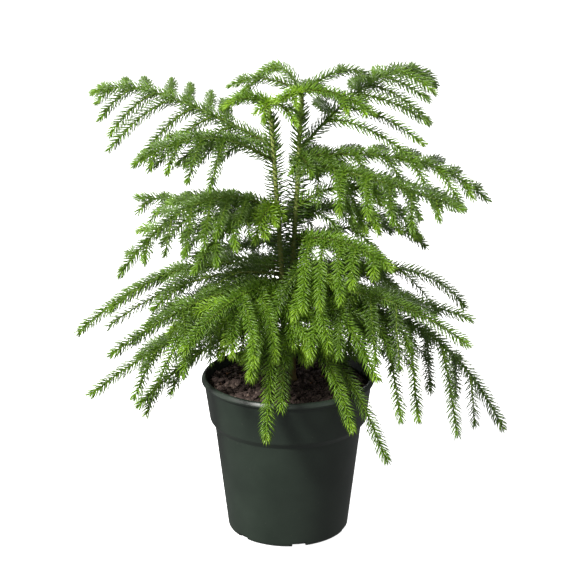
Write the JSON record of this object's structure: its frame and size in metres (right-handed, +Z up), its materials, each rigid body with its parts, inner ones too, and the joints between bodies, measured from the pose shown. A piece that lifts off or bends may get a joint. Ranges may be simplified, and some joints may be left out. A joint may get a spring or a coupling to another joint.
{
  "type": "potted two-stemmed norfolk island pine",
  "caption": "Young conifer clump with two slender needle-clad stems and whorls of drooping feathery boughs, standing in a plain round nursery pot filled with soil.",
  "frame": {"origin": "centre of the pot's flat underside, on the surface that it stands on", "axes": "+Z up along the stems, -Y towards the front, +X to the right"},
  "size_m": [0.383, 0.2944, 0.4249],
  "materials": {
    "pot": "satin dark green moulded plastic",
    "soil": "moist composted bark potting mix",
    "stem": "green-brown young bark",
    "foliage": "soft green needles"
  },
  "bodies": {
    "root": {"bough_left_5a": "stem", "bough_left_5c": "stem", "bough_left_7b": "stem", "bough_right_2c": "stem", "bough_right_2d": "stem", "bough_right_5b": "stem", "bough_right_5d": "stem", "bough_right_6b": "stem", "foliage_left_2a": "foliage", "foliage_left_2b": "foliage", "foliage_left_2c": "foliage", "foliage_left_3a": "foliage", "foliage_left_3b": "foliage", "foliage_left_3c": "foliage", "foliage_left_3d": "foliage", "foliage_left_3e": "foliage", "foliage_left_4a": "foliage", "foliage_left_4b": "foliage", "foliage_left_5a": "foliage", "foliage_left_5b": "foliage", "foliage_left_5c": "foliage", "foliage_left_6a": "foliage", "foliage_left_6b": "foliage", "foliage_left_7a": "foliage", "foliage_left_7b": "foliage", "foliage_left_7c": "foliage", "foliage_left_7d": "foliage", "foliage_left_7e": "foliage", "foliage_left_8a": "foliage", "foliage_left_top": "foliage", "foliage_right_2a": "foliage", "foliage_right_2b": "foliage", "foliage_right_2c": "foliage", "foliage_right_2d": "foliage", "foliage_right_2e": "foliage", "foliage_right_3a": "foliage", "foliage_right_3b": "foliage", "foliage_right_3c": "foliage", "foliage_right_4a": "foliage", "foliage_right_4b": "foliage", "foliage_right_4c": "foliage", "foliage_right_5a": "foliage", "foliage_right_5b": "foliage", "foliage_right_5c": "foliage", "foliage_right_5d": "foliage", "foliage_right_5e": "foliage", "foliage_right_5f": "foliage", "foliage_right_6a": "foliage", "foliage_right_6b": "foliage", "foliage_right_6c": "foliage", "foliage_right_6d": "foliage", "foliage_right_7a": "foliage", "foliage_right_7b": "foliage", "foliage_right_7c": "foliage", "foliage_right_top": "foliage", "pot": "pot", "soil": "soil", "stem_left": "stem", "stem_right": "stem"}
  },
  "joints": []
}
